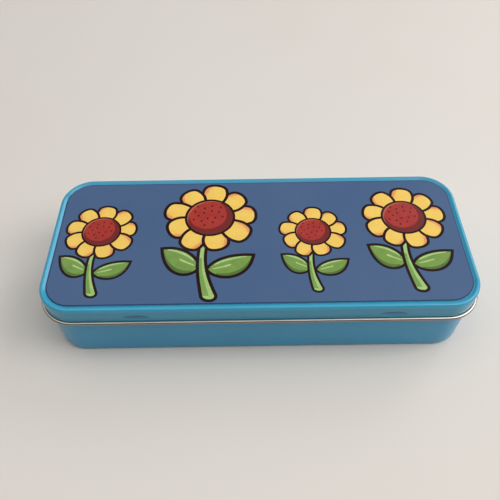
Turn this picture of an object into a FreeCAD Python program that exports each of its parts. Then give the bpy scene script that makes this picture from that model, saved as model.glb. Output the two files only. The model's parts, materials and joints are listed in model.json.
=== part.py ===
"""Hinged tinplate pencil case: a drawn base, a drawn lid and a decorated plate set into the lid.

Frame: millimetres, +Z up, origin on the resting plane under the middle of the case.
+X runs along the case to the right, -Y is the front with the snap dimples, +Y is the hinge side.

Every sheet-metal piece is one profile carried round a rounded rectangle. A profile lies in a
plane (u, z): u is the distance outwards from the corner centre line, which all pieces share.
"""
import FreeCAD, Part
import math
import os

# Driving dimensions
OVERALL_LENGTH = 199.0      # over the rolled edge of the lid
OVERALL_DEPTH = 81.4        # over the rolled edge of the lid
OVERALL_HEIGHT = 37.0
SHEET = 0.3                 # tinplate thickness
CORNER_RADIUS = 15.0        # plan radius of the lid skirt, outside

# Lid: rolled edge, skirt and the raised rim round the panel
CURL_HEIGHT = 27.4          # centre of the rolled edge, which is also the hinge axis
CURL_RADIUS = 0.85          # outside radius of the roll
CURL_TURN = 305.0           # degrees that the sheet is rolled
SKIRT_EDGE_RADIUS = 1.2     # outside radius between skirt and rim
RIM_START = 12.1            # u where the panel turns up into the sloping rim
RIM_ANGLE = 35.0            # slope of the rim's inner side
RIM_FOOT_RADIUS = 0.3       # middle of the sheet, between panel and rim
RIM_CROWN_RADIUS = 0.6      # middle of the sheet, at the top of the slope
PANEL_DROP = 0.9            # panel surface below the top of the rim

# Decorated plate and the film that holds it
PLATE_THICKNESS = 0.5
PLATE_GAP = 0.1             # between the plate's edge and the start of the rim
FILM_THICKNESS = 0.1
FILM_SETBACK = 0.5          # film edge inside the plate edge

# Base
LID_CLEARANCE = 0.75        # between the skirt and the base wall
BASE_FOOT_RADIUS = 2.2      # outside radius between floor and wall
BASE_TOP = 35.5
HEM_RADIUS = 0.9            # outside radius of the rolled top edge
HEM_TURN = 300.0

# Hinges: tongues of the base rolled round short pins in the rolled edge of the lid
HINGE_X = 58.0
TONGUE_WIDTH = 14.0
WINDOW_WIDTH = 15.0         # opening in the rolled edge for a tongue
WINDOW_RISE = 1.2           # top of that opening above the hinge axis
TONGUE_ROOT_RADIUS = 0.85
TONGUE_ROOT_DROP = 1.55     # start of the tongue below the hinge axis
TONGUE_WRAP = 250.0         # degrees that a tongue is rolled round its pin
PIN_CLEARANCE = 0.05
PIN_LENGTH = 40.0

# Snap dimples pressed inwards in the front of the skirt
DIMPLES_X = (-54.5, 58.5)
DIMPLE_LENGTH = 13.0
DIMPLE_HEIGHT = 4.2
DIMPLE_DEPTH = 0.3
DIMPLE_RISE = 3.4           # centre above the rolled edge's centre

# Worked out from the above
HALF_SHEET = SHEET / 2
CURL_OVERHANG = 2 * CURL_RADIUS - SHEET
STRAIGHT_X = OVERALL_LENGTH - 2 * (CORNER_RADIUS + CURL_OVERHANG)
STRAIGHT_Y = OVERALL_DEPTH - 2 * (CORNER_RADIUS + CURL_OVERHANG)
CURL_U = CORNER_RADIUS - SHEET + CURL_RADIUS
CURL_BORE = CURL_RADIUS - SHEET
PANEL_TOP = OVERALL_HEIGHT - PANEL_DROP
BASE_RADIUS = CORNER_RADIUS - SHEET - LID_CLEARANCE
HINGE_Y = STRAIGHT_Y / 2 + CURL_U
TONGUE_REACH = CURL_U - (BASE_RADIUS - HALF_SHEET)


def direction(heading):
    angle = math.radians(heading)
    return FreeCAD.Vector(math.cos(angle), 0, math.sin(angle))


def left_of(heading):
    return direction(heading + 90)


def side_edge(start, heading, move, offset):
    """One edge of a strip, the given distance to the left of its middle line."""
    kind, size, turn = move
    begin = start + left_of(heading) * offset
    if kind == "run":
        return Part.LineSegment(begin, begin + direction(heading) * size).toShape()
    side = 1 if turn > 0 else -1
    centre = start + left_of(heading) * (side * size)
    radius = size - side * offset
    middle = centre - left_of(heading + turn / 2) * (side * radius)
    end = centre - left_of(heading + turn) * (side * radius)
    return Part.Arc(begin, middle, end).toShape()


def advance(start, heading, move):
    """Middle point and heading after a move."""
    kind, size, turn = move
    if kind == "run":
        return start + direction(heading) * size, heading
    side = 1 if turn > 0 else -1
    centre = start + left_of(heading) * (side * size)
    return centre - left_of(heading + turn) * (side * size), heading + turn


def run(length):
    return ("run", length, 0)


def bend(middle_radius, turn):
    """A bend of the middle line, counter-clockwise when the turn is positive."""
    return ("bend", middle_radius, turn)


def sheet_profile(u, z, heading, moves):
    """Face in the plane Y = 0 that follows the moves with the sheet's thickness."""
    point = FreeCAD.Vector(u, 0, z)
    start, start_heading = point, heading
    left_side = []
    right_side = []
    for move in moves:
        left_side.append(side_edge(point, heading, move, HALF_SHEET))
        right_side.append(side_edge(point, heading, move, -HALF_SHEET))
        point, heading = advance(point, heading, move)
    first_cap = Part.LineSegment(start + left_of(start_heading) * HALF_SHEET,
                                 start - left_of(start_heading) * HALF_SHEET).toShape()
    last_cap = Part.LineSegment(point + left_of(heading) * HALF_SHEET,
                                point - left_of(heading) * HALF_SHEET).toShape()
    edges = [first_cap] + right_side + [last_cap] + left_side
    return Part.Face(Part.Wire(Part.__sortEdges__(edges)))


def turned(shape, angle):
    copy = shape.copy()
    copy.rotate(FreeCAD.Vector(0, 0, 0), FreeCAD.Vector(0, 0, 1), angle)
    return copy


def drawn_shell(profile, floor_bottom):
    """Carry a profile round the rounded rectangle and close the middle with a flat floor."""
    half_x = STRAIGHT_X / 2
    half_y = STRAIGHT_Y / 2
    floor = Part.makeBox(STRAIGHT_X, STRAIGHT_Y, SHEET, FreeCAD.Vector(-half_x, -half_y, floor_bottom))
    pieces = []
    corners = [(half_x, half_y), (-half_x, half_y), (-half_x, -half_y), (half_x, -half_y)]
    for index, (x, y) in enumerate(corners):
        angle = 90 * index
        corner_profile = turned(profile, angle)
        corner = corner_profile.revolve(FreeCAD.Vector(0, 0, 0), FreeCAD.Vector(0, 0, 1), 90)
        corner.translate(FreeCAD.Vector(x, y, 0))
        length = STRAIGHT_Y if index % 2 == 0 else STRAIGHT_X
        along = FreeCAD.Vector(math.sin(math.radians(angle)), -math.cos(math.radians(angle)), 0)
        side = corner_profile.extrude(along * length)
        side.translate(FreeCAD.Vector(x, y, 0))
        pieces += [corner, side]
    return floor.fuse(pieces).removeSplitter()


def rounded_plate(radius, bottom, thickness):
    """Flat plate whose edge lies at u = radius."""
    half_x = STRAIGHT_X / 2 + radius
    half_y = STRAIGHT_Y / 2 + radius
    plate = Part.makeBox(2 * half_x, 2 * half_y, thickness, FreeCAD.Vector(-half_x, -half_y, bottom))
    upright = [edge for edge in plate.Edges if abs(edge.tangentAt(edge.FirstParameter).z) > 0.9]
    return plate.makeFillet(radius, upright)


def ellipsoid(centre, half_x, half_y, half_z):
    scale = FreeCAD.Matrix()
    scale.scale(half_x, half_y, half_z)
    body = Part.makeSphere(1).transformGeometry(scale)
    body.translate(centre)
    return body


def lid_profile():
    slope = math.radians(RIM_ANGLE)
    bends = RIM_FOOT_RADIUS + RIM_CROWN_RADIUS
    rise = (PANEL_DROP - bends * (1 - math.cos(slope))) / math.sin(slope)
    reach = bends * math.sin(slope) + rise * math.cos(slope)
    edge_start = CORNER_RADIUS - SKIRT_EDGE_RADIUS
    return sheet_profile(0, PANEL_TOP - HALF_SHEET, 0, [
        run(RIM_START),
        bend(RIM_FOOT_RADIUS, RIM_ANGLE),
        run(rise),
        bend(RIM_CROWN_RADIUS, -RIM_ANGLE),
        run(edge_start - RIM_START - reach),
        bend(SKIRT_EDGE_RADIUS - HALF_SHEET, -90),
        run(OVERALL_HEIGHT - SKIRT_EDGE_RADIUS - CURL_HEIGHT),
        bend(CURL_RADIUS - HALF_SHEET, CURL_TURN),
    ])


def press_dimple(lid, x):
    """Push the front of the skirt inwards, keeping the sheet about its own thickness."""
    front = -STRAIGHT_Y / 2 - CORNER_RADIUS
    z = CURL_HEIGHT + DIMPLE_RISE
    half_length = DIMPLE_LENGTH / 2
    half_height = DIMPLE_HEIGHT / 2
    inner = ellipsoid(FreeCAD.Vector(x, front + HALF_SHEET, z),
                      half_length, DIMPLE_DEPTH + HALF_SHEET, half_height)
    outer = ellipsoid(FreeCAD.Vector(x, front, z),
                      half_length - SHEET, DIMPLE_DEPTH, half_height - SHEET)
    behind_face = Part.makeBox(DIMPLE_LENGTH, 2, DIMPLE_HEIGHT,
                               FreeCAD.Vector(x - half_length, front + HALF_SHEET, z - half_height))
    return lid.fuse(inner.common(behind_face)).cut(outer)


def make_lid_shell():
    lid = drawn_shell(lid_profile(), PANEL_TOP - SHEET)
    reach = 1.5 * CURL_RADIUS
    for x in (-HINGE_X, HINGE_X):
        corner = FreeCAD.Vector(x - WINDOW_WIDTH / 2, HINGE_Y - reach, CURL_HEIGHT - reach)
        lid = lid.cut(Part.makeBox(WINDOW_WIDTH, 2 * reach, reach + WINDOW_RISE, corner))
    for x in DIMPLES_X:
        lid = press_dimple(lid, x)
    return lid


def base_profile():
    return sheet_profile(0, HALF_SHEET, 0, [
        run(BASE_RADIUS - BASE_FOOT_RADIUS),
        bend(BASE_FOOT_RADIUS - HALF_SHEET, 90),
        run(BASE_TOP - HEM_RADIUS - BASE_FOOT_RADIUS),
        bend(HEM_RADIUS - HALF_SHEET, HEM_TURN),
    ])


def hinge_tongue(x):
    """Strip lanced out of the back wall, bent out under the pin and rolled round it."""
    profile = sheet_profile(BASE_RADIUS - HALF_SHEET, CURL_HEIGHT - TONGUE_ROOT_DROP, 90, [
        bend(TONGUE_ROOT_RADIUS, -90),
        run(TONGUE_REACH - TONGUE_ROOT_RADIUS),
        bend(CURL_RADIUS - HALF_SHEET, TONGUE_WRAP),
    ])
    tongue = turned(profile, 90).extrude(FreeCAD.Vector(TONGUE_WIDTH, 0, 0))
    tongue.translate(FreeCAD.Vector(x - TONGUE_WIDTH / 2, STRAIGHT_Y / 2, 0))
    return tongue


def tongue_length():
    wrap = math.radians(TONGUE_WRAP) * (CURL_RADIUS - HALF_SHEET)
    return math.pi / 2 * TONGUE_ROOT_RADIUS + TONGUE_REACH - TONGUE_ROOT_RADIUS + wrap


def make_base_shell():
    base = drawn_shell(base_profile(), 0)
    wall = STRAIGHT_Y / 2 + BASE_RADIUS
    for x in (-HINGE_X, HINGE_X):
        lanced_hole = Part.makeBox(TONGUE_WIDTH, 3 * SHEET, tongue_length(),
                                   FreeCAD.Vector(x - TONGUE_WIDTH / 2, wall - 2 * SHEET,
                                                  CURL_HEIGHT - TONGUE_ROOT_DROP))
        base = base.cut(lanced_hole).fuse(hinge_tongue(x))
    return base.removeSplitter()


def make_hinge_pin(x):
    return Part.makeCylinder(CURL_BORE - PIN_CLEARANCE, PIN_LENGTH,
                             FreeCAD.Vector(x - PIN_LENGTH / 2, HINGE_Y, CURL_HEIGHT),
                             FreeCAD.Vector(1, 0, 0))


def main():
    plate_radius = RIM_START - PLATE_GAP
    nodes = {
        "base_shell": make_base_shell(),
        "lid_shell": make_lid_shell(),
        "mounting_film": rounded_plate(plate_radius - FILM_SETBACK, PANEL_TOP, FILM_THICKNESS),
        "decorated_plate": rounded_plate(plate_radius, PANEL_TOP + FILM_THICKNESS, PLATE_THICKNESS),
        "hinge_pin_left": make_hinge_pin(-HINGE_X),
        "hinge_pin_right": make_hinge_pin(HINGE_X),
    }
    os.makedirs("parts", exist_ok=True)
    for name, shape in nodes.items():
        shape.exportStep("parts/" + name + ".step")
        box = shape.BoundBox
        print(name, shape.isValid(), len(shape.Solids), round(shape.Volume, 1),
              [round(v, 2) for v in (box.XMin, box.XMax, box.YMin, box.YMax, box.ZMin, box.ZMax)])


main()
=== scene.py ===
"""Looks of the hinged tin pencil case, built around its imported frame. Metres, in the frame's axes."""
import json
import math

import bpy
import bmesh
import numpy as np
from mathutils import Euler, Matrix, Vector
from mathutils.geometry import delaunay_2d_cdt


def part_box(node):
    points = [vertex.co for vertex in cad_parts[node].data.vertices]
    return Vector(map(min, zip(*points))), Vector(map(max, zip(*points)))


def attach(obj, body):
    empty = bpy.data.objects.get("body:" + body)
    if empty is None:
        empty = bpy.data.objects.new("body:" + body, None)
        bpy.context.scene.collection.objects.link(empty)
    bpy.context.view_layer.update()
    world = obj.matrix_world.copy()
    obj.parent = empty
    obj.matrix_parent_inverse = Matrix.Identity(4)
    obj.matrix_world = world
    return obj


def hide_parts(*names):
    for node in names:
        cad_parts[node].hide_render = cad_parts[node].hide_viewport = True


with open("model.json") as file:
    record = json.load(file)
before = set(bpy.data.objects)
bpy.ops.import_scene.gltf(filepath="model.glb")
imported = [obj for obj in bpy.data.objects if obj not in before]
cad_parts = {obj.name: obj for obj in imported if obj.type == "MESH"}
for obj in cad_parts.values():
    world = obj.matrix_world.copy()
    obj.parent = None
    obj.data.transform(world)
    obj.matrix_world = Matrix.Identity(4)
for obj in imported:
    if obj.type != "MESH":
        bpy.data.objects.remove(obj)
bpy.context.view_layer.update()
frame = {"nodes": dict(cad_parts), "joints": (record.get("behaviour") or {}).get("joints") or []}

MM = 0.001

# Sheet metal, as the case is pressed
SHEET = 0.3 * MM
CORNER_RADIUS = 15.0 * MM
SKIRT_EDGE_RADIUS = 1.2 * MM
RIM_START = 12.1 * MM
RIM_ANGLE = 35.0
RIM_FOOT_RADIUS = 0.3 * MM
RIM_CROWN_RADIUS = 0.6 * MM
PANEL_DROP = 0.9 * MM
CURL_TURN = 305.0
BASE_FOOT_RADIUS = 2.2 * MM
HEM_RADIUS = 0.9 * MM
HEM_TURN = 300.0

# Hinges and snap dimples
TONGUE_WIDTH = 14.0 * MM
TONGUE_ROOT_RADIUS = 0.85 * MM
TONGUE_ROOT_DROP = 1.55 * MM
TONGUE_WRAP = 250.0
TONGUE_GAP = 0.02 * MM      # shear gap beside a tongue; its root reaches as far into the wall below
WINDOW_WIDTH = 15.0 * MM
WINDOW_RISE = 1.2 * MM
DIMPLES_X = (-54.5 * MM, 58.5 * MM)
DIMPLE_HALF_LENGTH = 6.6 * MM
DIMPLE_HALF_HEIGHT = 2.1 * MM
DIMPLE_DEPTH = 0.33 * MM
DIMPLE_RISE = 3.4 * MM
DIMPLE_WALL = 0.34          # share of a dimple's radius taken by its sloping wall
EDGE_BREAK = 0.12 * MM      # broken edge round the top of the plate

# Read from the frame
LID_LOW, LID_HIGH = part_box("lid_shell")
BASE_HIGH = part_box("base_shell")[1]
PLATE_LOW, PLATE_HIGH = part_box("decorated_plate")
HINGE = Vector(frame["joints"][0]["pos_m"])
PIN_X = sum(corner.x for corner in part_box("hinge_pin_right")) / 2

# Worked out from the above
HALF_SHEET = SHEET / 2
CURL_RADIUS = HINGE.z - LID_LOW.z
CURL_OVERHANG = 2 * CURL_RADIUS - SHEET
STRAIGHT_X = LID_HIGH.x - CORNER_RADIUS - CURL_OVERHANG
STRAIGHT_Y = LID_HIGH.y - CORNER_RADIUS - CURL_OVERHANG
CURL_U = CORNER_RADIUS - SHEET + CURL_RADIUS
BASE_RADIUS = BASE_HIGH.x - STRAIGHT_X
PANEL_TOP = LID_HIGH.z - PANEL_DROP
PLATE_RADIUS = PLATE_HIGH.x - STRAIGHT_X
TONGUE_BOTTOM = HINGE.z - TONGUE_ROOT_DROP
TONGUE_REACH = CURL_U - (BASE_RADIUS - HALF_SHEET)
TONGUE_LENGTH = (math.pi / 2 * TONGUE_ROOT_RADIUS + TONGUE_REACH - TONGUE_ROOT_RADIUS
                 + math.radians(TONGUE_WRAP) * (CURL_RADIUS - HALF_SHEET))
CORNERS = [(STRAIGHT_X, STRAIGHT_Y), (-STRAIGHT_X, STRAIGHT_Y),
           (-STRAIGHT_X, -STRAIGHT_Y), (STRAIGHT_X, -STRAIGHT_Y)]

# Fineness of the meshes
CORNER_STEPS = 20           # stations round each plan corner
DIMPLE_STATIONS = 29        # stations across each dimple
WELD = 1e-7                 # points closer than this are one


# ---------------------------------------------------------------- sheet metal

def run(length, steps=1):
    return "run", length, 0, steps


def bend(radius, turn, steps):
    return "bend", radius, turn, steps


def trace_sheet(u, z, heading, moves):
    """Points (u, z) on the left and right face of a sheet whose middle line follows the moves.

    u is the distance out from the centres of the plan's corners, and z the height.
    """
    points = [(u, z)]
    headings = [heading]
    for kind, size, turn, steps in moves:
        for _ in range(steps):
            step_turn = turn / steps
            if kind == "run":
                chord = size / steps
            else:
                chord = 2 * size * math.sin(math.radians(abs(step_turn)) / 2)
            along = math.radians(heading + step_turn / 2)
            u += chord * math.cos(along)
            z += chord * math.sin(along)
            heading += step_turn
            points.append((u, z))
            headings.append(heading)
    middle = np.array(points)
    angle = np.radians(headings)
    left_normal = np.stack([-np.sin(angle), np.cos(angle)], axis=-1)
    return middle + HALF_SHEET * left_normal, middle - HALF_SHEET * left_normal


def stations(back_stops=(), front_stops=()):
    """Corner centres and outward directions round the plan, counter-clockwise from the right side."""
    straights = [[(x, STRAIGHT_Y) for x in sorted(back_stops, reverse=True)], [],
                 [(x, -STRAIGHT_Y) for x in sorted(front_stops)], []]
    centres = []
    angles = []
    for index, corner in enumerate(CORNERS):
        for step in range(CORNER_STEPS + 1):
            centres.append(corner)
            angles.append(90 * index + 90 * step / CORNER_STEPS)
        for stop in straights[index]:
            centres.append(stop)
            angles.append(90 * (index + 1))
    angle = np.radians(angles)
    return np.array(centres), np.stack([np.cos(angle), np.sin(angle)], axis=-1)


def sweep(face_points, centres, outward):
    """Grid of points (station, profile point, xyz) of one face carried round the plan."""
    plan = centres[:, None, :] + outward[:, None, :] * face_points[None, :, 0, None]
    height = np.broadcast_to(face_points[None, :, 1, None], plan.shape[:2] + (1,))
    return np.concatenate([plan, height], axis=2)


def add_sheet(mesh, left, right, closed, absent=lambda centre: False, open_start=False):
    """Add a sheet to a bmesh from its two faces, with edges wherever it ends or is absent.

    Left faces take material 0, the rest material 1. A sheet with an open start has its middle
    filled by one flat face on each side.
    """
    count, width = left.shape[:2]
    left_verts = [[mesh.verts.new(p) for p in row] for row in left]
    right_verts = [[mesh.verts.new(p) for p in row] for row in right]
    spans = count if closed else count - 1

    def is_there(s, i):
        centre = (left[s, i] + left[(s + 1) % count, i + 1]) / 2
        return not absent(centre)

    there = [[is_there(s, i) for i in range(width - 1)] for s in range(spans)]

    def present(s, i):
        inside = 0 <= i < width - 1 and (closed or 0 <= s < spans)
        return inside and there[s % spans][i]

    def face(verts, material):
        mesh.faces.new(verts).material_index = material

    for s in range(spans):
        n = (s + 1) % count
        left_here, left_next = left_verts[s], left_verts[n]
        right_here, right_next = right_verts[s], right_verts[n]
        for i in range(width - 1):
            if not present(s, i):
                continue
            j = i + 1
            face([left_here[i], left_here[j], left_next[j], left_next[i]], 0)
            face([right_here[i], right_next[i], right_next[j], right_here[j]], 1)
            if not present(s, i - 1) and not (open_start and i == 0):
                face([left_here[i], left_next[i], right_next[i], right_here[i]], 1)
            if not present(s, i + 1):
                face([left_here[j], right_here[j], right_next[j], left_next[j]], 1)
            if not present(s - 1, i):
                face([left_here[i], right_here[i], right_here[j], left_here[j]], 1)
            if not present(s + 1, i):
                face([left_next[i], left_next[j], right_next[j], right_next[i]], 1)
    if open_start:
        face([row[0] for row in left_verts], 0)
        face([row[0] for row in reversed(right_verts)], 1)


def finish_mesh(mesh, name, materials, sharp_angle=40):
    """Turn a bmesh into a smooth-shaded object with its materials."""
    loose = [v for v in mesh.verts if not v.link_faces]
    bmesh.ops.delete(mesh, geom=loose, context="VERTS")
    bmesh.ops.recalc_face_normals(mesh, faces=mesh.faces)
    data = bpy.data.meshes.new(name)
    mesh.to_mesh(data)
    mesh.free()
    data.shade_smooth()
    data.set_sharp_from_angle(angle=math.radians(sharp_angle))
    for material in materials:
        data.materials.append(material)
    piece = bpy.data.objects.new(name, data)
    bpy.context.scene.collection.objects.link(piece)
    return piece


def pin_stops(half_width):
    """Where a cut of the given half width starts and ends at each hinge pin."""
    return [side * PIN_X + edge for side in (-1, 1) for edge in (-half_width, half_width)]


def lid_moves():
    """Moves of the lid's middle line, from its panel over the rim and skirt to the rolled edge."""
    slope = math.radians(RIM_ANGLE)
    bends = RIM_FOOT_RADIUS + RIM_CROWN_RADIUS
    rise = (PANEL_DROP - bends * (1 - math.cos(slope))) / math.sin(slope)
    reach = bends * math.sin(slope) + rise * math.cos(slope)
    top_run = CORNER_RADIUS - SKIRT_EDGE_RADIUS - RIM_START - reach
    skirt_run = LID_HIGH.z - SKIRT_EDGE_RADIUS - HINGE.z - WINDOW_RISE
    return [
        run(RIM_START / 2),
        bend(RIM_FOOT_RADIUS, RIM_ANGLE, 5),
        run(rise, 3),
        bend(RIM_CROWN_RADIUS, -RIM_ANGLE, 7),
        run(top_run),
        bend(SKIRT_EDGE_RADIUS - HALF_SHEET, -90, 14),
        run(skirt_run, 34),
        run(WINDOW_RISE, 5),
        bend(CURL_RADIUS - HALF_SHEET, CURL_TURN, 30),
    ]


def press_dimples(points):
    """Push the front of the skirt inwards at the two snap dimples, each flat in its middle."""
    on_front = points[..., 1] < -STRAIGHT_Y - CORNER_RADIUS + 2 * SHEET
    for x in DIMPLES_X:
        across = (points[..., 0] - x) / DIMPLE_HALF_LENGTH
        up = (points[..., 2] - HINGE.z - DIMPLE_RISE) / DIMPLE_HALF_HEIGHT
        wall = np.clip((1 - np.hypot(across, up)) / DIMPLE_WALL, 0, 1)
        points[..., 1] += np.where(on_front, DIMPLE_DEPTH * wall * wall * (3 - 2 * wall), 0)


def make_lid(materials):
    """The lid's sheet, lacquered outside, with two dimples and two windows for the tongues."""
    left, right = trace_sheet(RIM_START / 2, PANEL_TOP - HALF_SHEET, 0, lid_moves())
    windows = pin_stops(WINDOW_WIDTH / 2)
    reach = 1.05 * DIMPLE_HALF_LENGTH
    dimples = [x + stop for x in DIMPLES_X for stop in np.linspace(-reach, reach, DIMPLE_STATIONS)]
    centres, outward = stations(windows, dimples)
    left_grid = sweep(left, centres, outward)
    right_grid = sweep(right, centres, outward)
    press_dimples(left_grid)
    press_dimples(right_grid)

    def in_window(centre):
        beside_pin = abs(abs(centre[0]) - PIN_X) < WINDOW_WIDTH / 2
        return beside_pin and centre[1] > STRAIGHT_Y + RIM_START and centre[2] < HINGE.z + WINDOW_RISE

    mesh = bmesh.new()
    add_sheet(mesh, left_grid, right_grid, True, in_window, open_start=True)
    return finish_mesh(mesh, "lid", materials)


def make_base(materials):
    """The base's sheet, lacquered outside, with its hem and the two tongues cut out of its back."""
    wall_run = BASE_HIGH.z - HEM_RADIUS - BASE_FOOT_RADIUS
    lower = TONGUE_BOTTOM - BASE_FOOT_RADIUS
    start = (BASE_RADIUS - BASE_FOOT_RADIUS) / 2
    left, right = trace_sheet(start, HALF_SHEET, 0, [
        run(start),
        bend(BASE_FOOT_RADIUS - HALF_SHEET, 90, 12),
        run(lower, 6),
        run(TONGUE_LENGTH, 3),
        run(wall_run - lower - TONGUE_LENGTH),
        bend(HEM_RADIUS - HALF_SHEET, HEM_TURN, 22),
    ])
    centres, outward = stations(pin_stops(TONGUE_WIDTH / 2))

    def in_hole(centre):
        beside_pin = abs(abs(centre[0]) - PIN_X) < TONGUE_WIDTH / 2
        at_height = TONGUE_BOTTOM < centre[2] < TONGUE_BOTTOM + TONGUE_LENGTH
        return beside_pin and centre[1] > STRAIGHT_Y + HEM_RADIUS and at_height

    mesh = bmesh.new()
    add_sheet(mesh, sweep(right, centres, outward), sweep(left, centres, outward), True, in_hole,
              open_start=True)
    for x in (-PIN_X, PIN_X):
        add_tongue(mesh, x)
    return finish_mesh(mesh, "base", materials)


def add_tongue(mesh, x):
    """Strip bent out of the back wall and rolled round a hinge pin."""
    left, right = trace_sheet(BASE_RADIUS - HALF_SHEET, TONGUE_BOTTOM - TONGUE_GAP, 90, [
        run(TONGUE_GAP),
        bend(TONGUE_ROOT_RADIUS, -90, 8),
        run(TONGUE_REACH - TONGUE_ROOT_RADIUS),
        bend(CURL_RADIUS - HALF_SHEET, TONGUE_WRAP, 24),
    ])
    half_width = TONGUE_WIDTH / 2 - TONGUE_GAP
    centres = np.array([(x + half_width, STRAIGHT_Y), (x - half_width, STRAIGHT_Y)])
    outward = np.array([(0.0, 1.0), (0.0, 1.0)])
    add_sheet(mesh, sweep(right, centres, outward), sweep(left, centres, outward), False)


# ---------------------------------------------------------------- printed picture
# Drawn in millimetres on the plate: its middle is (0, 0) and +Y is the hinge side.

PAINTED_EDGE_SHADE_WIDTH = 0.4                # painted shade: dark line along the plate's edge, beside the gap at the rim
INKS = ["painted_edge_shade", "ground", "outline", "petal", "disc", "seed",
        "leaf", "leaf_shade", "leaf_light", "stem", "stem_shade"]
PETALS = 9
SEEDS = 16

# Shares of a flower's radius, as are all sizes and places inside the drawing functions
LINE = 0.072
DISC = 0.52
SEED = 0.025

# Head centre (x, y), petal radius, turn of the head and sideways lean of the foot
FLOWERS = [
    ((-75.0, 5.2), 16.6, -4, 0.15),
    ((-23.3, 13.2), 21.4, -6, 0.15),
    ((26.0, 3.4), 15.3, -2, 0.10),
    ((70.6, 11.6), 19.2, -4, 0.16),
]


def counter_clockwise(points):
    here = np.array(points)
    ahead = np.roll(here, -1, axis=0)
    area = (here[:, 0] * ahead[:, 1] - here[:, 1] * ahead[:, 0]).sum()
    return here if area > 0 else here[::-1]


def grow(points, distance):
    """A closed outline moved outwards, with its sharp points kept sharp."""
    here = counter_clockwise(points)
    ahead = np.roll(here, -1, axis=0) - here
    ahead /= np.linalg.norm(ahead, axis=1, keepdims=True)
    behind = np.roll(ahead, 1, axis=0)
    normal = np.stack([ahead[:, 1] + behind[:, 1], -ahead[:, 0] - behind[:, 0]], axis=-1)
    normal /= np.linalg.norm(normal, axis=1, keepdims=True)
    edge_normal = np.stack([ahead[:, 1], -ahead[:, 0]], axis=-1)
    spread = np.clip((normal * edge_normal).sum(axis=1), 0.55, 1)
    return here + normal * (distance / spread)[:, None]


class Picture:
    """Shapes stacked from the ground upwards. Each keeps the frame in which its ink is shaded."""

    def __init__(self):
        self.shapes = []

    def add(self, points, ink, origin=(0, 0), along=(1, 0), half_size=(1, 1)):
        self.shapes.append((counter_clockwise(points), INKS.index(ink),
                            np.array(origin), np.array(along), half_size))


class Flower:
    """Draws in shares of the flower's radius from its head's middle."""

    def __init__(self, picture, centre, radius):
        self.picture = picture
        self.centre = np.array(centre)
        self.radius = radius

    def draw(self, points, ink, line=LINE, along=(1, 0), origin=(0, 0), half_size=(1, 1)):
        """One shape with the dark line round it, or with none where line is 0."""
        if line:
            self.picture.add(grow(points, line) * self.radius + self.centre, "outline")
        place = np.array(origin) * self.radius + self.centre
        size = (half_size[0] * self.radius, half_size[1] * self.radius)
        self.picture.add(np.array(points) * self.radius + self.centre, ink, place, along, size)


def turned(points, angle):
    c, s = math.cos(angle), math.sin(angle)
    return np.array(points) @ np.array([[c, s], [-s, c]])


def bezier(start, pull_start, pull_end, end, steps=16):
    """Points along a cubic curve, both ends included."""
    t = np.linspace(0, 1, steps + 1)[:, None]
    corners = [np.array(p, float) for p in (start, pull_start, pull_end, end)]
    weights = [(1 - t) ** 3, 3 * t * (1 - t) ** 2, 3 * t * t * (1 - t), t ** 3]
    return sum(w * c for w, c in zip(weights, corners))


def closed(*edges):
    """Edges joined into one outline. Each starts where the one before it ends."""
    return np.concatenate([edge[:-1] for edge in edges])


def petal_outline(inner, outer, half_width):
    """A petal along +X: narrow at the disc, broad and blunt at its outer end."""
    shoulder = outer - 0.10
    lower = bezier((inner, -0.55 * half_width), (inner + 0.12, -0.72 * half_width),
                   (shoulder - 0.22, -1.12 * half_width), (shoulder, -0.82 * half_width))
    tip = bezier((shoulder, -0.82 * half_width), (outer + 0.035, -0.62 * half_width),
                 (outer + 0.035, 0.62 * half_width), (shoulder, 0.82 * half_width))
    upper = (lower * (1, -1))[::-1]
    foot = np.array([upper[-1], lower[0]])
    return closed(lower, tip, upper, foot)


def draw_head(flower, turn):
    """Petals of slightly uneven reach and turn round a disc with its seeds in a spiral."""
    for index in range(PETALS):
        angle = math.radians(turn + 360 / PETALS * (index + 0.25) + 3 * math.sin(5 * index))
        along = np.array((math.cos(angle), math.sin(angle)))
        outer = 0.945 + 0.05 * along[0] ** 2 + 0.025 * math.sin(3 * index + flower.radius)
        half_width = 0.258 + 0.012 * math.sin(4 * index)
        outline = turned(petal_outline(0.8 * DISC, outer, half_width), angle)
        flower.draw(outline, "petal", along=tuple(along), origin=along * DISC,
                    half_size=(outer - DISC, half_width))
    circle = np.linspace(0, 2 * math.pi, 48, endpoint=False)
    rim = np.stack([DISC * np.cos(circle), 0.96 * DISC * np.sin(circle)], axis=-1)
    flower.draw(rim, "disc", line=0.75 * LINE, half_size=(DISC, DISC))
    golden_angle = math.radians(137.5)
    hexagon = np.arange(6) * math.pi / 3
    for index in range(1, SEEDS + 1):
        distance = 0.175 * DISC * math.sqrt(index)
        spot = np.array((-0.13 * DISC + 1.1 * distance * math.cos(index * golden_angle),
                         0.16 * DISC + 0.9 * distance * math.sin(index * golden_angle)))
        seed = spot + SEED * np.stack([np.cos(hexagon), 1.2 * np.sin(hexagon)], axis=-1)
        flower.draw(seed, "seed", line=0)


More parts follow.
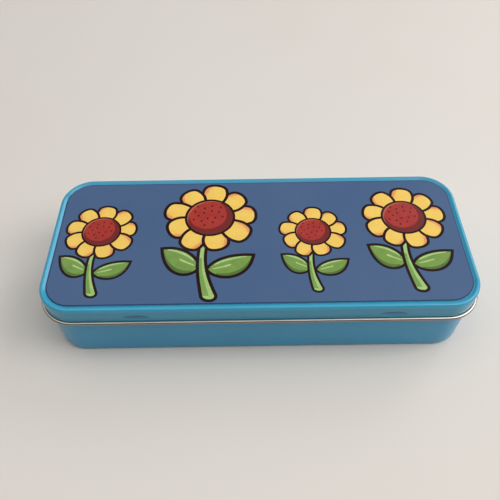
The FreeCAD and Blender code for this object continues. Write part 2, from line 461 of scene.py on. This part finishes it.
def draw_leaf(flower, root, reach, rise, side):
    """A plump leaf with its tip up and out. Side is 1 for one on the right, -1 for one on the left."""
    upper = [(0, 0), (0.10 * reach, 0.62 * rise), (0.50 * reach, 1.12 * rise), (reach, rise)]
    lower = [(0, 0), (0.22 * reach, -0.26), (0.88 * reach, -0.26), (reach, rise)]

    def between(share):
        """A curve from root to tip at a share of the way from the upper to the lower edge."""
        return [np.array(a) * (1 - share) + np.array(b) * share for a, b in zip(upper, lower)]

    def strip(share_a, share_b, start, end):
        """The area between two such curves, from one step along them to another."""
        points = [bezier(*between(share), steps=24)[start:end] for share in (share_a, share_b)]
        return np.concatenate([points[0], points[1][::-1]])

    mirror = (side, 1)
    flower.draw(closed(bezier(*upper), bezier(*lower)[::-1]) * mirror + root, "leaf",
                along=(side, 0), origin=root, half_size=(reach, rise))
    flower.draw(strip(0.84, 1.0, 5, 24) * mirror + root, "leaf_shade", line=0)
    flower.draw(strip(0.03, 0.14, 6, 23) * mirror + root, "leaf_light", line=0)
    flower.draw(strip(0.36, 0.45, 4, 15) * mirror + root, "leaf_light", line=0)


def draw_stem(flower, lean):
    """A stem that widens towards its rounded foot, with a darker left side."""
    top = (-0.12, -0.80)
    foot = (top[0] + lean, -2.12)
    middle = bezier(top, (top[0] - 0.07, top[1] - 0.5), (foot[0] - 0.14, foot[1] + 0.45), foot)
    widths = np.linspace(0, 1, len(middle))[:, None] ** 2 * (0.078, 0) + (0.041, 0)
    toe = bezier(middle[-1] - widths[-1], middle[-1] + (-0.10, -0.10), middle[-1] + (0.13, -0.12),
                 middle[-1] + widths[-1])
    left = middle - widths
    right = middle + widths
    flower.draw(closed(left, toe, right[::-1], np.array([right[0], left[0]])), "stem")
    shade = np.concatenate([left[4:], (middle + 0.1 * widths)[:3:-1]])
    flower.draw(shade, "stem_shade", line=0)


def draw_flower(picture, centre, radius, turn, lean):
    flower = Flower(picture, centre, radius)
    root = np.array((-0.11, -1.42))
    draw_leaf(flower, root + (-0.10, 0.03), 0.77, 0.48, -1)
    draw_leaf(flower, root + (0.12, -0.04), 0.92, 0.34, 1)
    draw_stem(flower, lean)
    draw_head(flower, turn)


def plate_outline(radius, steps=14):
    """Rounded rectangle with its edge at the given distance from the corner centres, in millimetres."""
    points = []
    for index, (x, y) in enumerate(CORNERS):
        for step in range(steps + 1):
            angle = math.radians(90 * index + 90 * step / steps)
            points.append(((x + radius * math.cos(angle)) / MM, (y + radius * math.sin(angle)) / MM))
    return points


def draw_picture(rim):
    picture = Picture()
    # Painted shade: a dark navy band under the ground shows along the plate's edge.
    picture.add(rim, "painted_edge_shade")
    picture.add(plate_outline(PLATE_RADIUS - PAINTED_EDGE_SHADE_WIDTH * MM), "ground")
    for flower in FLOWERS:
        draw_flower(picture, *flower)
    return picture


def make_plate(materials):
    """Thin plate with a broken edge. Its top is cut along every drawn line, with one ink a region."""
    rim = plate_outline(PLATE_RADIUS - EDGE_BREAK)
    picture = draw_picture(rim)
    verts = []
    faces = []
    for points, *_ in picture.shapes:
        faces.append(list(range(len(verts), len(verts) + len(points))))
        verts += [Vector(p) for p in points]
    fill_faces = 1
    snap = 1e-5
    flat_verts, _, flat_faces, _, _, owners = delaunay_2d_cdt(verts, [], faces, fill_faces, snap)

    mesh = bmesh.new()
    shading = mesh.loops.layers.float_vector.new("ink")
    top_verts = [mesh.verts.new((v.x * MM, v.y * MM, PLATE_HIGH.z)) for v in flat_verts]
    for corners, owner in zip(flat_faces, owners):
        _, ink, origin, along, half_size = picture.shapes[max(owner)]
        face = mesh.faces.new([top_verts[i] for i in corners])
        face.material_index = ink
        for loop in face.loops:
            offset = np.array(loop.vert.co.xy) / MM - origin
            forward = offset @ along
            sideways = along[0] * offset[1] - along[1] * offset[0]
            loop[shading] = (forward / half_size[0], sideways / half_size[1], 0)
    add_plate_sides(mesh, rim)
    bmesh.ops.remove_doubles(mesh, verts=mesh.verts, dist=WELD)
    return finish_mesh(mesh, "plate", materials, sharp_angle=25)


def add_plate_sides(mesh, rim):
    """Broken edge in the dark ink of painted shade, and the bare cut side and underside of the plate.
    """
    metal = len(INKS)
    edge = plate_outline(PLATE_RADIUS)
    rings = [(rim, PLATE_HIGH.z), (edge, PLATE_HIGH.z - EDGE_BREAK), (edge, PLATE_LOW.z)]
    ring_verts = [[mesh.verts.new((x * MM, y * MM, z)) for x, y in points] for points, z in rings]
    for upper, lower, material in zip(ring_verts, ring_verts[1:], (INKS.index("painted_edge_shade"), metal)):
        for i in range(len(upper)):
            j = (i + 1) % len(upper)
            mesh.faces.new([upper[i], lower[i], lower[j], upper[j]]).material_index = material
    mesh.faces.new(ring_verts[-1][::-1]).material_index = metal


# ---------------------------------------------------------------- materials

def srgb(red, green, blue):
    """Linear colour from 0-255 sRGB values."""
    values = [v / 255 for v in (red, green, blue)]
    return tuple(v / 12.92 if v <= 0.04045 else ((v + 0.055) / 1.055) ** 2.4 for v in values) + (1.0,)


class Shader:
    """One material's node tree, with short calls to add and link nodes."""

    def __init__(self, name):
        self.material = bpy.data.materials.new(name)
        self.material.use_nodes = True
        self.tree = self.material.node_tree
        self.surface = self.tree.nodes["Principled BSDF"]

    def add(self, kind, inputs=None, **settings):
        node = self.tree.nodes.new(kind)
        for key, value in settings.items():
            setattr(node, key, value)
        for key, value in (inputs or {}).items():
            self.put(node.inputs[key], value)
        return node

    def put(self, socket, value):
        if isinstance(value, bpy.types.NodeSocket):
            self.tree.links.new(value, socket)
        else:
            socket.default_value = value

    def set(self, **values):
        for key, value in values.items():
            self.put(self.surface.inputs[key.replace("_", " ")], value)

    def coords(self, scale=(1, 1, 1)):
        place = self.add("ShaderNodeTexCoord").outputs["Object"]
        return self.add("ShaderNodeMapping", {"Vector": place, "Scale": scale}).outputs[0]

    def split(self, vector):
        """The three parts of a vector."""
        return self.add("ShaderNodeSeparateXYZ", {"Vector": vector}).outputs

    def noise(self, scale, detail=3.0, roughness=0.55, stretch=(1, 1, 1)):
        node = self.add("ShaderNodeTexNoise", {"Vector": self.coords(stretch), "Scale": scale,
                                               "Detail": detail, "Roughness": roughness})
        return node.outputs["Fac"]

    def band(self, value, low, high, out_low=0.0, out_high=1.0):
        """Value mapped from low..high to out_low..out_high, smooth and held at the ends."""
        node = self.add("ShaderNodeMapRange", {"Value": value, "From Min": low, "From Max": high,
                                               "To Min": out_low, "To Max": out_high})
        node.interpolation_type = "SMOOTHSTEP"
        return node.outputs["Result"]

    def math(self, operation, first, second=0.0, third=0.0):
        node = self.add("ShaderNodeMath", operation=operation)
        for socket, value in zip(node.inputs, (first, second, third)):
            self.put(socket, value)
        return node.outputs[0]

    def mix(self, factor, first, second, blend="MIX"):
        node = self.add("ShaderNodeMix", data_type="RGBA", blend_type=blend)
        sockets = {socket.identifier: socket for socket in node.inputs}
        self.put(sockets["Factor_Float"], factor)
        self.put(sockets["A_Color"], first)
        self.put(sockets["B_Color"], second)
        return next(socket for socket in node.outputs if socket.identifier == "Result_Color")

    def bump(self, height, strength, distance, below=None):
        inputs = {"Height": height, "Strength": strength, "Distance": distance}
        if below is not None:
            inputs["Normal"] = below
        return self.add("ShaderNodeBump", inputs).outputs[0]


def painted_shade_on_lid(shader):
    """Share of painted shade: strong at the top of each snap dimple, less towards its bottom, and faint
    over the skirt.
    """
    x, y, z = shader.split(shader.coords())
    offsets = [shader.math("ABSOLUTE", shader.math("SUBTRACT", x, centre)) for centre in DIMPLES_X]
    across = shader.math("DIVIDE", shader.math("MINIMUM", *offsets), DIMPLE_HALF_LENGTH)
    up = shader.math("DIVIDE", shader.math("SUBTRACT", z, HINGE.z + DIMPLE_RISE), DIMPLE_HALF_HEIGHT)
    squares = [shader.math("POWER", shader.math("ABSOLUTE", value), 2.0) for value in (across, up)]
    radius = shader.math("SQRT", shader.math("ADD", *squares))
    on_front = shader.math("LESS_THAN", y, -STRAIGHT_Y)
    inside = shader.math("MULTIPLY", shader.band(radius, 0.75, 1.1, 1, 0), on_front)
    in_dimples = shader.math("MULTIPLY", inside, shader.band(up, -0.4, 0.7, 0.3, 1))
    crown = LID_HIGH.z - SKIRT_EDGE_RADIUS
    on_skirt = shader.band(z, crown - SKIRT_EDGE_RADIUS, crown, 0.22, 0)
    return shader.math("MAXIMUM", in_dimples, on_skirt)


def lacquer(name, colour, painted_shade_share=None):
    """Satin lacquer over tinplate: faint clouding, orange peel, rubbed patches and hairlines.

    The optional function gives the share of painted shade, 0 to 1.
    """
    shader = Shader(name)
    deep = [0.97 * value for value in colour]
    cloud = shader.band(shader.noise(24, 3), 0.25, 0.75)
    tone = shader.mix(cloud, srgb(*deep), srgb(*colour))
    hairline = shader.band(shader.noise(160, 3, 0.6, (1, 30, 30)), 0.68, 0.74, 0, 0.06)
    tone = shader.mix(hairline, tone, srgb(140, 190, 212))
    speck = shader.band(shader.noise(2600, 2), 0.72, 0.80, 0, 0.15)
    tone = shader.mix(speck, tone, srgb(40, 92, 122))
    if painted_shade_share:
        # Painted shade: a darker blue where the function asks for it, in the dimples and over the
        # skirt.
        tone = shader.mix(shader.math("MULTIPLY", painted_shade_share(shader), 0.85), tone, srgb(8, 74, 112))
    rub = shader.band(shader.noise(70, 5, 0.6), 0.42, 0.72)
    peel = shader.bump(shader.noise(1100, 2), 0.07, 0.04 * MM)
    waves = shader.bump(shader.noise(32, 1), 0.06, 0.9 * MM, peel)
    roughness = shader.band(rub, 0, 1, 0.20, 0.27)
    shader.set(Base_Color=tone, Roughness=roughness, Normal=waves, IOR=1.5, Specular_IOR_Level=0.5)
    return shader.material


def painted_shade_on_roll(shader, tone):
    """Painted shade: the lid's rolled edge turns darker and browner below its top."""
    height = shader.split(shader.coords())[2]
    # Painted shade: full below 0.7 of the curl's radius above the hinge, fading out towards the top of
    # the roll.
    roll_shade = shader.band(height, HINGE.z + 0.7 * CURL_RADIUS, HINGE.z + CURL_RADIUS, 0.75, 0)
    return shader.mix(roll_shade, tone, srgb(136, 116, 104))


def tinplate(name, colour, tarnish, painted_shade=None):
    """Bare rolled tinplate: drawing marks, tarnish and fine scratches, with optional painted shade over
    all of it.
    """
    shader = Shader(name)
    cloud = shader.band(shader.noise(55, 5, 0.6), 0.35, 0.75)
    tone = shader.mix(cloud, srgb(*colour), srgb(*tarnish))
    streaks = shader.noise(420, 4, 0.65, (0.12, 1, 1))
    tone = shader.mix(shader.band(streaks, 0.35, 0.7, 0, 0.10), tone, srgb(130, 124, 116))
    if painted_shade:
        tone = painted_shade(shader, tone)
    roughness = shader.band(shader.noise(240, 4, 0.6, (0.3, 1, 1)), 0.3, 0.7, 0.30, 0.38)
    scratches = shader.bump(streaks, 0.08, 0.03 * MM)
    waves = shader.bump(shader.noise(36, 1), 0.12, 0.6 * MM, scratches)
    shader.set(Base_Color=tone, Metallic=1.0, Roughness=roughness, Normal=waves)
    return shader.material


def drawn_wire(name):
    """Steel wire with drawing marks along its length."""
    shader = Shader(name)
    marks = shader.noise(900, 3, 0.6, (0.04, 1, 1))
    tone = shader.mix(shader.band(marks, 0.3, 0.7), srgb(176, 172, 166), srgb(120, 116, 110))
    roughness = shader.band(marks, 0.3, 0.7, 0.24, 0.38)
    grooves = shader.bump(marks, 0.2, 0.04 * MM)
    shader.set(Base_Color=tone, Metallic=1.0, Roughness=roughness, Normal=grooves)
    return shader.material


def adhesive_film(name):
    """Milky double-sided film."""
    shader = Shader(name)
    cloud = shader.band(shader.noise(300, 4), 0.3, 0.7)
    tone = shader.mix(cloud, srgb(222, 218, 206), srgb(204, 198, 182))
    shader.set(Base_Color=tone, Roughness=shader.band(cloud, 0, 1, 0.5, 0.65),
               Normal=shader.bump(cloud, 0.2, 0.05 * MM))
    return shader.material


def ink_place(shader):
    """Coordinates of a printed shape's own frame: along it, and across it."""
    place = shader.add("ShaderNodeAttribute", attribute_name="ink").outputs["Vector"]
    along, across, _ = shader.split(place)
    return along, across


def print_finish(shader, tone):
    """Shared finish of all inks: dye grain, slight fading and a satin surface."""
    grain = shader.band(shader.noise(2400, 2), 0.3, 0.7, 0.95, 1.05)
    tone = shader.mix(1.0, tone, grain, "MULTIPLY")
    fade = shader.band(shader.noise(28, 3), 0.35, 0.75, 0, 0.03)
    tone = shader.mix(fade, tone, srgb(128, 146, 172))
    roughness = shader.band(shader.noise(85, 4, 0.6), 0.35, 0.7, 0.44, 0.56)
    surface = shader.bump(shader.noise(1500, 2), 0.10, 0.04 * MM)
    shader.set(Base_Color=tone, Roughness=roughness, Normal=surface, IOR=1.45,
               Specular_IOR_Level=0.16)
    return shader.material


def flat_ink(name, colour, second, scale):
    """One printed colour with a slow drift towards a second."""
    shader = Shader(name)
    drift = shader.band(shader.noise(scale, 3), 0.35, 0.7)
    return print_finish(shader, shader.mix(drift, srgb(*colour), srgb(*second)))


def petal_ink(name):
    """Warm yellow with an orange crescent along one side that wraps round the tip."""
    shader = Shader(name)
    along, across = ink_place(shader)
    wobble = shader.math("MULTIPLY_ADD", shader.noise(420, 2), 0.3, -0.15)
    outer_half = shader.math("MAXIMUM", along, 0.0)
    wrap = shader.math("MULTIPLY", shader.math("POWER", outer_half, 3.0), 0.45)
    edge = shader.math("ADD", shader.math("ADD", across, wobble), wrap)
    cloud = shader.band(shader.noise(260, 2), 0.35, 0.65)
    yellow = shader.mix(cloud, srgb(246, 208, 104), srgb(244, 203, 98))
    blush = shader.mix(shader.band(edge, 0.2, 0.8, 0, 0.35), yellow, srgb(240, 184, 96))
    return print_finish(shader, shader.mix(shader.band(edge, 0.70, 0.82), blush, srgb(232, 158, 98)))


def disc_ink(name):
    """Brick red with a dark crescent on its lower right and a pale line along its top."""
    shader = Shader(name)
    along, across = ink_place(shader)
    wobble = shader.math("MULTIPLY_ADD", shader.noise(500, 3), 0.08, -0.04)

    def distance_from(x, y):
        sideways = shader.math("POWER", shader.math("SUBTRACT", along, x), 2.0)
        upwards = shader.math("POWER", shader.math("SUBTRACT", across, y), 2.0)
        return shader.math("ADD", shader.math("SQRT", shader.math("ADD", sideways, upwards)), wobble)

    crescent = shader.band(distance_from(-0.10, 0.17), 0.80, 0.86)
    pale = shader.band(distance_from(0.06, -0.10), 0.99, 1.03, 0, 0.5)
    cloud = shader.band(shader.noise(240, 3), 0.3, 0.7)
    red = shader.mix(cloud, srgb(174, 58, 50), srgb(164, 52, 46))
    red = shader.mix(crescent, red, srgb(116, 40, 38))
    return print_finish(shader, shader.mix(pale, red, srgb(206, 122, 100)))


def ink_materials():
    """One material for each name in INKS, in the same order."""
    return [
        # Painted shade along the plate's edge and over its broken edge.
        flat_ink("ink_painted_edge_shade", (34, 52, 92), (40, 60, 100), 60),
        flat_ink("ink_ground", (73, 99, 137), (77, 102, 139), 20),
        flat_ink("ink_outline", (30, 8, 10), (40, 12, 12), 200),
        petal_ink("ink_petal"),
        disc_ink("ink_disc"),
        flat_ink("ink_seed", (84, 22, 26), (70, 20, 26), 300),
        flat_ink("ink_leaf", (124, 158, 78), (116, 150, 72), 220),
        flat_ink("ink_leaf_shade", (84, 114, 56), (92, 124, 60), 220),
        flat_ink("ink_leaf_light", (178, 212, 138), (160, 198, 122), 220),
        flat_ink("ink_stem", (168, 204, 126), (156, 194, 112), 220),
        flat_ink("ink_stem_shade", (126, 166, 86), (118, 156, 80), 220),
    ]


def repaint(node, material):
    """Give every material slot of a frame object the material."""
    for slot in frame["nodes"][node].material_slots:
        slot.material = material


# ---------------------------------------------------------------- studio

FLOOR_REACH = 12.0          # from the case to the floor's sides
WINDOW_DISTANCE = 1.8       # from the case to the two windows
WALL_SPREAD = 60            # angular width of a wall's light, in degrees

# The photograph's camera, found by laying the case's outlines over it
CAMERA_PLACE = (-0.0041, -0.1638, 0.2403)
CAMERA_PITCH = 52.44        # degrees below the horizon
CAMERA_ROLL = -0.86
CAMERA_LENS = 39.83         # millimetres, on a sensor 36 mm wide


def floor_paper(name):
    shader = Shader(name)
    cloud = shader.band(shader.noise(3, 3), 0.3, 0.7)
    tone = shader.mix(cloud, srgb(226, 222, 216), srgb(222, 217, 210))
    grain = shader.bump(shader.noise(900, 2), 0.05, 0.1 * MM)
    shader.set(Base_Color=tone, Roughness=0.75, Normal=grain)
    return shader.material


def make_floor():
    corners = [(x * FLOOR_REACH, y * FLOOR_REACH, 0) for x, y in ((-1, -1), (1, -1), (1, 1), (-1, 1))]
    mesh = bpy.data.meshes.new("floor")
    mesh.from_pydata(corners, [], [(0, 1, 2, 3)])
    mesh.materials.append(floor_paper("floor_paper"))
    floor = bpy.data.objects.new("floor", mesh)
    bpy.context.scene.collection.objects.link(floor)


def add_light(name, kind, azimuth, elevation, energy, colour):
    """A light aimed at the case. Azimuth 0 is the case's right, 90 its back."""
    data = bpy.data.lights.new(name, kind)
    data.energy = energy
    data.color = colour
    light = bpy.data.objects.new(name, data)
    turn = Euler((0, math.radians(-elevation), math.radians(azimuth))).to_matrix()
    light.location = turn @ Vector((WINDOW_DISTANCE, 0, 0))
    light.rotation_euler = (-light.location).to_track_quat("-Z", "Y").to_euler()
    bpy.context.scene.collection.objects.link(light)
    return data


def add_window(name, azimuth, elevation, watts, colour, size):
    """A round soft light close by, which fades across the table."""
    data = add_light(name, "AREA", azimuth, elevation, watts, colour)
    data.shape = "DISK"
    data.size = size


def add_wall_glow(name, azimuth, elevation, strength, colour, spread=WALL_SPREAD):
    """A soft light of the given angular width from far away, even over the whole floor."""
    data = add_light(name, "SUN", azimuth, elevation, strength, colour)
    data.angle = math.radians(spread)


def make_world():
    """Cool air, pale at the horizon and dim from 17 degrees above it."""
    world = bpy.data.worlds.new("studio")
    world.use_nodes = True
    tree = world.node_tree
    place = tree.nodes.new("ShaderNodeTexCoord")
    split = tree.nodes.new("ShaderNodeSeparateXYZ")
    tree.links.new(place.outputs["Generated"], split.inputs[0])
    strength = tree.nodes.new("ShaderNodeMapRange")
    strength.interpolation_type = "SMOOTHSTEP"
    gradient = {"From Min": 0.0, "From Max": 0.30, "To Min": 0.42, "To Max": 0.05}
    for key, value in gradient.items():
        strength.inputs[key].default_value = value
    tree.links.new(split.outputs["Z"], strength.inputs["Value"])
    background = tree.nodes["Background"]
    background.inputs["Color"].default_value = (0.92, 0.96, 1.0, 1)
    tree.links.new(strength.outputs["Result"], background.inputs["Strength"])
    bpy.context.scene.world = world


def make_lights():
    """A tall soft window to the right, a warm wall to the left and a pale wall behind."""
    add_window("window_high", 345, 53, 10.5, (1.0, 0.98, 0.97), size=1.4)
    add_window("window_low", 0, 36, 10.5, (1.0, 0.98, 0.96), size=1.2)
    add_wall_glow("left_wall", 170, 48, 0.34, (1.0, 0.92, 0.82))
    add_wall_glow("ceiling", 240, 84, 0.89, (1.0, 0.99, 0.98))
    add_wall_glow("back_wall", 90, 48, 0.26, (0.98, 0.99, 1.0))
    add_wall_glow("back_window", 46, 35, 0.50, (0.98, 0.99, 1.0), spread=25)


def make_camera():
    """The photograph's view: from the front, looking down, with the camera a touch off level."""
    data = bpy.data.cameras.new("camera")
    data.sensor_width = 36.0
    data.lens = CAMERA_LENS
    data.clip_start = 0.01
    camera = bpy.data.objects.new("camera", data)
    pitched = Euler((math.pi / 2 - math.radians(CAMERA_PITCH), 0, 0)).to_matrix()
    rolled = pitched @ Matrix.Rotation(math.radians(CAMERA_ROLL), 3, "Z")
    camera.matrix_world = Matrix.Translation(CAMERA_PLACE) @ rolled.to_4x4()
    bpy.context.scene.collection.objects.link(camera)
    bpy.context.scene.camera = camera


# ---------------------------------------------------------------- the case

TIN = (216, 212, 205)
TARNISH = (200, 195, 187)

# The lid's lacquer is a lighter, redder blue than the base's: a painted sheen that lifts its rims.
lacquer_lid = lacquer("lacquer_lid", (58, 162, 198), painted_shade_on_lid)
lacquer_base = lacquer("lacquer_base", (44, 154, 199))
bare_tin = tinplate("bare_tin", TIN, TARNISH)
lid_tin = tinplate("lid_tin", TIN, TARNISH, painted_shade_on_roll)
plate_metal = tinplate("plate_metal", (214, 214, 214), (188, 188, 190))

lid = make_lid([lacquer_lid, lid_tin])
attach(lid, "lid")
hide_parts("lid_shell")

base = make_base([lacquer_base, bare_tin])
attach(base, "base")
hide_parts("base_shell")

plate = make_plate(ink_materials() + [plate_metal])
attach(plate, "lid")
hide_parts("decorated_plate")

repaint("mounting_film", adhesive_film("adhesive_film"))
wire = drawn_wire("drawn_wire")
repaint("hinge_pin_left", wire)
repaint("hinge_pin_right", wire)

make_floor()
make_world()
make_lights()
make_camera()
bpy.context.scene.view_settings.view_transform = "Standard"
